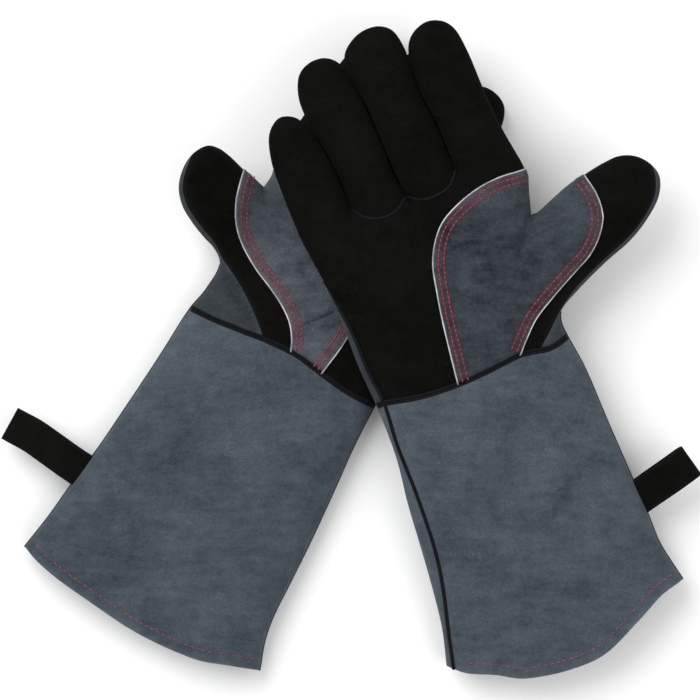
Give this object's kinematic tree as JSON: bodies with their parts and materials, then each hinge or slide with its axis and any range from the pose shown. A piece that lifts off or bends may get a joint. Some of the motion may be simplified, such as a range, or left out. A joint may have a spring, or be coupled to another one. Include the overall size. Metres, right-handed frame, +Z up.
{
  "type": "heat resistant glove",
  "caption": "Crossed left and right leather gauntlets with long flared cuffs, black suede palms, grey suede cuffs and thumb crotch patches, red stitching and hang loops.",
  "frame": {"origin": "on the table under the middle of the crossed pair", "axes": "+Z up out of the palms, +Y towards the fingertips, +X towards the right glove's thumb"},
  "size_m": [0.4198, 0.3928, 0.0771],
  "materials": {
    "black_suede": "brushed black split cowhide suede, matte",
    "grey_suede": "mottled blue-grey split cowhide suede, matte",
    "lining": "soft cotton lining",
    "welt": "dark leather seam welt",
    "piping": "pale woven piping",
    "thread": "twisted red thread"
  },
  "bodies": {
    "left_glove": {"left_cuff_palm_panel": "grey_suede", "left_cuff_back_panel": "grey_suede", "left_cuff_lining": "lining", "left_hem_thread": "thread", "left_thumb_side_welt": "welt", "left_little_side_welt": "welt", "left_wrist_welt": "welt", "left_palm_panel": "black_suede", "left_hand_back_panel": "grey_suede", "left_palm_lining": "lining", "left_back_lining": "lining", "left_crotch_patch": "grey_suede", "left_palm_piping": "piping", "left_palm_thread": "thread", "left_heel_piping": "piping", "left_finger_base_welt": "welt"},
    "left_thumb": {"left_thumb_front": "black_suede", "left_thumb_back": "grey_suede", "left_thumb_patch": "grey_suede", "left_thumb_piping": "piping", "left_thumb_thread": "thread"},
    "left_index_finger": {"left_index_finger_front": "black_suede", "left_index_finger_back": "black_suede"},
    "left_middle_finger": {"left_middle_finger_front": "black_suede", "left_middle_finger_back": "black_suede"},
    "left_ring_finger": {"left_ring_finger_front": "black_suede", "left_ring_finger_back": "black_suede"},
    "left_little_finger": {"left_little_finger_front": "black_suede", "left_little_finger_back": "black_suede"},
    "left_hang_loop": {"left_hang_loop": "black_suede"},
    "right_glove": {"right_cuff_palm_panel": "grey_suede", "right_cuff_back_panel": "grey_suede", "right_cuff_lining": "lining", "right_hem_thread": "thread", "right_thumb_side_welt": "welt", "right_little_side_welt": "welt", "right_wrist_welt": "welt", "right_palm_panel": "black_suede", "right_hand_back_panel": "grey_suede", "right_palm_lining": "lining", "right_back_lining": "lining", "right_crotch_patch": "grey_suede", "right_palm_piping": "piping", "right_palm_thread": "thread", "right_heel_piping": "piping", "right_finger_base_welt": "welt"},
    "right_thumb": {"right_thumb_front": "black_suede", "right_thumb_back": "grey_suede", "right_thumb_patch": "grey_suede", "right_thumb_piping": "piping", "right_thumb_thread": "thread"},
    "right_index_finger": {"right_index_finger_front": "black_suede", "right_index_finger_back": "black_suede"},
    "right_middle_finger": {"right_middle_finger_front": "black_suede", "right_middle_finger_back": "black_suede"},
    "right_ring_finger": {"right_ring_finger_front": "black_suede", "right_ring_finger_back": "black_suede"},
    "right_little_finger": {"right_little_finger_front": "black_suede", "right_little_finger_back": "black_suede"},
    "right_hang_loop": {"right_hang_loop": "black_suede"}
  },
  "joints": [
    {"name": "right_glove_lift", "type": "slide", "parent": "left_glove", "child": "right_glove", "axis": [0, 0, 1], "range_m": [0, 0.16]},
    {"name": "left_index_flex", "type": "hinge", "parent": "left_glove", "child": "left_index_finger", "pos_m": [-0.03213, 0.11538, 0.02215], "axis": [0.8572, -0.515, 0], "range_deg": [0, 30]},
    {"name": "left_middle_flex", "type": "hinge", "parent": "left_glove", "child": "left_middle_finger", "pos_m": [-0.00198, 0.09901, 0.02215], "axis": [0.849, -0.5284, 0], "range_deg": [0, 30]},
    {"name": "left_ring_flex", "type": "hinge", "parent": "left_glove", "child": "left_ring_finger", "pos_m": [0.02693, 0.08331, 0.02215], "axis": [0.8396, -0.5432, 0], "range_deg": [0, 30]},
    {"name": "left_little_flex", "type": "hinge", "parent": "left_glove", "child": "left_little_finger", "pos_m": [0.05567, 0.06771, 0.02135], "axis": [0.83, -0.5577, 0], "range_deg": [0, 30]},
    {"name": "left_thumb_flex", "type": "hinge", "parent": "left_glove", "child": "left_thumb", "pos_m": [-0.08117, 0.06338, 0.02265], "axis": [0.7505, 0.6609, 0], "range_deg": [0, 55]},
    {"name": "left_hang_loop_swing", "type": "hinge", "parent": "left_glove", "child": "left_hang_loop", "pos_m": [-0.16226, -0.07341, 0.0142], "axis": [0.5373, 0.8434, 0], "range_deg": [0, 75]},
    {"name": "right_index_flex", "type": "hinge", "parent": "right_glove", "child": "right_index_finger", "pos_m": [0.08018, 0.10737, 0.05505], "axis": [0.9317, 0.3632, 0.0006], "range_deg": [0, 75]},
    {"name": "right_middle_flex", "type": "hinge", "parent": "right_glove", "child": "right_middle_finger", "pos_m": [0.04816, 0.09508, 0.05505], "axis": [0.9259, 0.3777, 0.0023], "range_deg": [0, 75]},
    {"name": "right_ring_flex", "type": "hinge", "parent": "right_glove", "child": "right_ring_finger", "pos_m": [0.01744, 0.08329, 0.05505], "axis": [0.9192, 0.3937, 0.0042], "range_deg": [0, 75]},
    {"name": "right_little_flex", "type": "hinge", "parent": "right_glove", "child": "right_little_finger", "pos_m": [-0.01312, 0.07166, 0.05426], "axis": [0.9122, 0.4096, 0.0061], "range_deg": [0, 75]},
    {"name": "right_thumb_flex", "type": "hinge", "parent": "right_glove", "child": "right_thumb", "pos_m": [0.1172, 0.04705, 0.04787], "axis": [0.4998, -0.8593, -0.1084], "range_deg": [0, 55]},
    {"name": "right_hang_loop_swing", "type": "hinge", "parent": "right_glove", "child": "right_hang_loop", "pos_m": [0.18195, -0.08685, 0.023], "axis": [0.5857, -0.8036, -0.106], "range_deg": [0, 75]}
  ],
  "couplings": [
    {"joint": "left_index_flex", "follows": "right_glove_lift", "rad_per_m": 3.25},
    {"joint": "left_middle_flex", "follows": "right_glove_lift", "rad_per_m": 3.25},
    {"joint": "left_ring_flex", "follows": "right_glove_lift", "rad_per_m": 3.25},
    {"joint": "left_little_flex", "follows": "right_glove_lift", "rad_per_m": 3.25}
  ]
}
